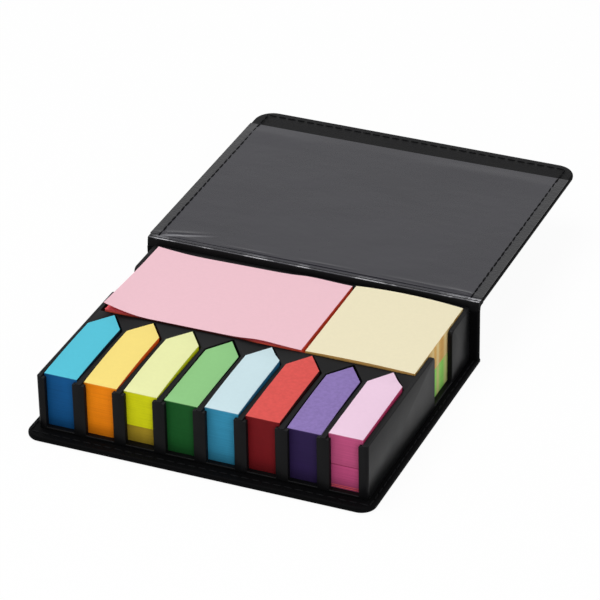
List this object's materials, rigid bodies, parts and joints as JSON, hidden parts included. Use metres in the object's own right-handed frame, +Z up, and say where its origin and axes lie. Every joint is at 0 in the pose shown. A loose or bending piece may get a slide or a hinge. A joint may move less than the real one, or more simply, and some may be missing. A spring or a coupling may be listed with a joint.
{
  "type": "memo box",
  "caption": "Hinged leatherette desk box, lid open flat, with a plastic tray of arrow-shaped sticky flags and blocks of sticky notes.",
  "frame": {"origin": "centre of the flat underside of the base, which lies on the desk", "axes": "+X to the right along the spine, +Y from the open front edge to the spine and on along the open lid, +Z up; the lid lies open at rest"},
  "size_m": [0.1398, 0.2262, 0.0283],
  "materials": {
    "leatherette": "fine-grained black leatherette, satin",
    "greyboard": "raw grey board, matt",
    "lining": "smooth black lining, satin",
    "thread": "black sewing thread",
    "tray_plastic": "black moulded plastic, semi-gloss",
    "pocket_film": "clear vinyl film over black, glossy and slightly wrinkled",
    "paper_blue": "coloured paper, matt",
    "paper_orange": "coloured paper, matt",
    "paper_yellow": "coloured paper, matt",
    "paper_olive": "coloured paper, matt",
    "paper_green": "coloured paper, matt",
    "paper_pale_blue": "coloured paper, matt",
    "paper_red": "coloured paper, matt",
    "paper_purple": "coloured paper, matt",
    "paper_pink": "coloured paper, matt",
    "paper_magenta": "coloured paper, matt",
    "paper_rose": "coloured paper, matt",
    "paper_cream": "coloured paper, matt",
    "paper_lime": "coloured paper, matt"
  },
  "bodies": {
    "root": {"outer_cover": "leatherette", "base_board": "greyboard", "spine_board": "greyboard", "base_lining": "lining", "spine_lining": "lining", "base_stitching": "thread", "tray": "tray_plastic", "flags_blue": "paper_blue", "flags_orange": "paper_orange", "flags_yellow": "paper_yellow", "flags_yellow_lower": "paper_olive", "flags_green": "paper_green", "flags_pale_blue": "paper_pale_blue", "flags_red": "paper_red", "flags_purple": "paper_purple", "flags_pink": "paper_pink", "flags_pink_lower": "paper_magenta", "pad_pink": "paper_rose", "pad_cream": "paper_cream", "pad_lime": "paper_lime"},
    "lid": {"lid_cover": "leatherette", "lid_board": "greyboard", "lid_lining": "lining", "lid_pocket": "pocket_film", "lid_stitching": "thread"}
  },
  "joints": [
    {"name": "lid_hinge", "type": "hinge", "parent": "root", "child": "lid", "pos_m": [0, 0.05515, 0.02735], "axis": [1, 0, 0], "range_deg": [-12, 180]}
  ]
}
